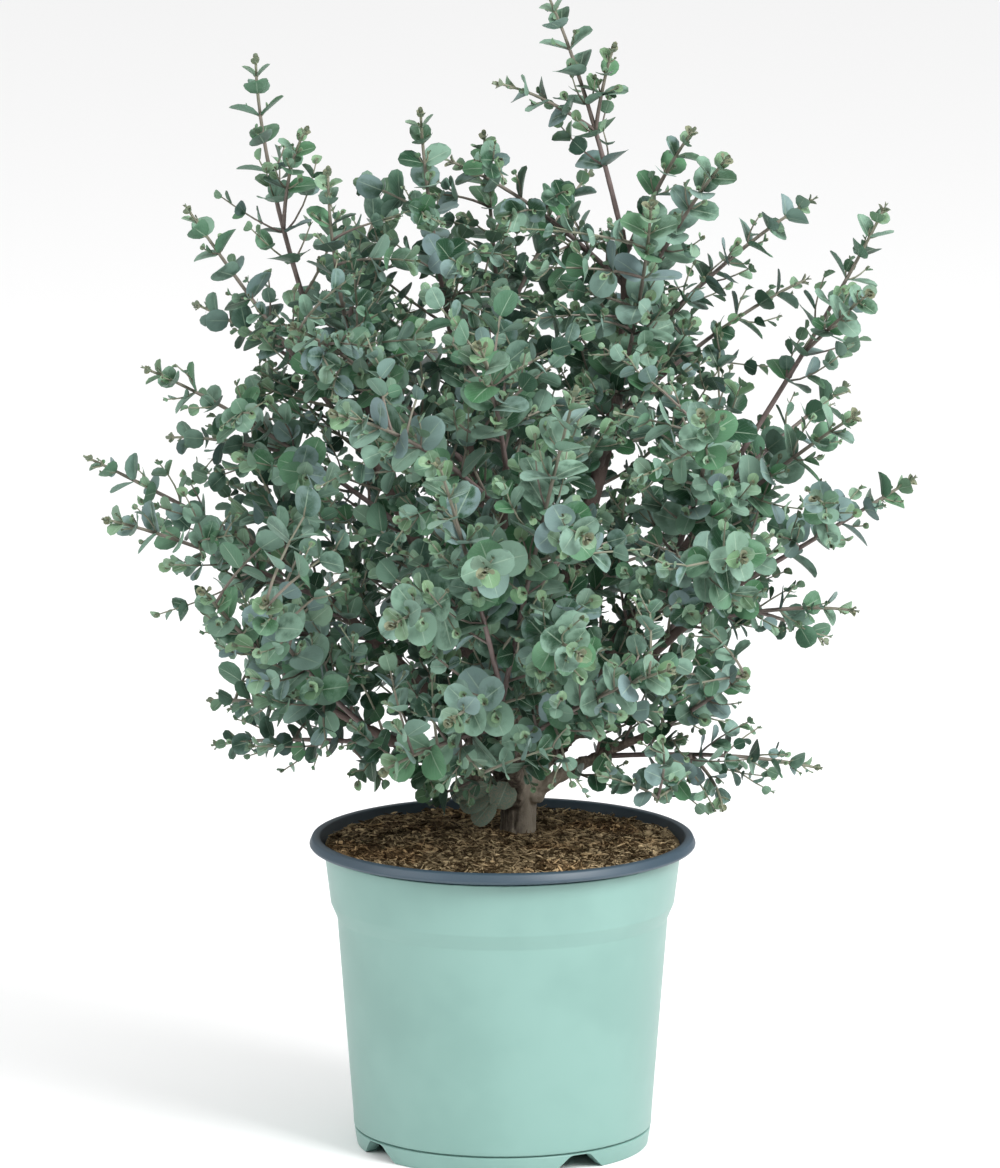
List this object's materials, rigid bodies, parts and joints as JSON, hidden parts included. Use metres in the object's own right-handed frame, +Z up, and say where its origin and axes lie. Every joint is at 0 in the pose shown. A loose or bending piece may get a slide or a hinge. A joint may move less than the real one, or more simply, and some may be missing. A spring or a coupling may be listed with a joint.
{
  "type": "potted cider gum",
  "caption": "Bushy young cider gum with opposite pairs of round grey-green leaves on thin upright branches, standing in a filled pale green nursery pot with a dark rim.",
  "frame": {"origin": "on the surface the pot stands on, under the middle of the plant and of its pot", "axes": "+Z up along the pot's axis, -Y towards the viewer of the picture, +X to that viewer's right"},
  "size_m": [0.487, 0.44, 0.684],
  "materials": {
    "pot_mint": "smooth, soft sheen",
    "pot_slate": "smooth, low sheen",
    "growing_medium": "loose, fibrous, matte",
    "bark": "smooth to finely flaking, matte",
    "foliage": "waxy bloom, matte"
  },
  "bodies": {
    "root": {"pot_outer_layer": "pot_mint", "pot_inner_layer": "pot_slate", "growing_medium": "growing_medium", "trunk_and_limbs": "bark", "branch_leader_tip": "foliage", "branch_crown_left": "foliage", "branch_crown_inner_left": "foliage", "branch_crown_middle_left": "foliage", "branch_crown_middle": "foliage", "branch_crown_right": "foliage", "branch_crown_outer_right": "foliage", "branch_column_right": "foliage", "branch_left_high": "foliage", "branch_left_middle": "foliage", "branch_left_far": "foliage", "branch_left_far_low": "foliage", "branch_left_front_low": "foliage", "branch_left_low": "foliage", "branch_left_drop": "foliage", "branch_right_high": "foliage", "branch_right_crown": "foliage", "branch_right_inner": "foliage", "branch_right_middle": "foliage", "branch_right_middle_front": "foliage", "branch_right_far": "foliage", "branch_right_low": "foliage", "branch_right_drop": "foliage", "branch_right_floor": "foliage", "branch_front_left": "foliage", "branch_front_middle": "foliage", "branch_front_top": "foliage", "branch_front_right": "foliage", "branch_front_centre": "foliage", "branch_front_centre_left": "foliage", "branch_front_centre_right": "foliage", "branch_front_lower_right": "foliage", "branch_front_lower": "foliage", "branch_front_floor": "foliage", "branch_front_outer_left": "foliage", "branch_front_outer_right": "foliage", "branch_front_high_right": "foliage", "branch_front_low_right": "foliage", "branch_rear_left": "foliage", "branch_rear_high_left": "foliage", "branch_rear_middle": "foliage", "branch_rear_high_right": "foliage", "branch_rear_right": "foliage", "branch_rear_top_left": "foliage", "branch_rear_top_right": "foliage", "branch_rear_low_left": "foliage", "branch_rear_low": "foliage", "branch_rear_low_right": "foliage", "branch_rear_floor_left": "foliage", "branch_rear_floor_right": "foliage", "branch_left_inner_high": "foliage", "branch_left_inner": "foliage", "branch_left_floor": "foliage"}
  },
  "joints": []
}
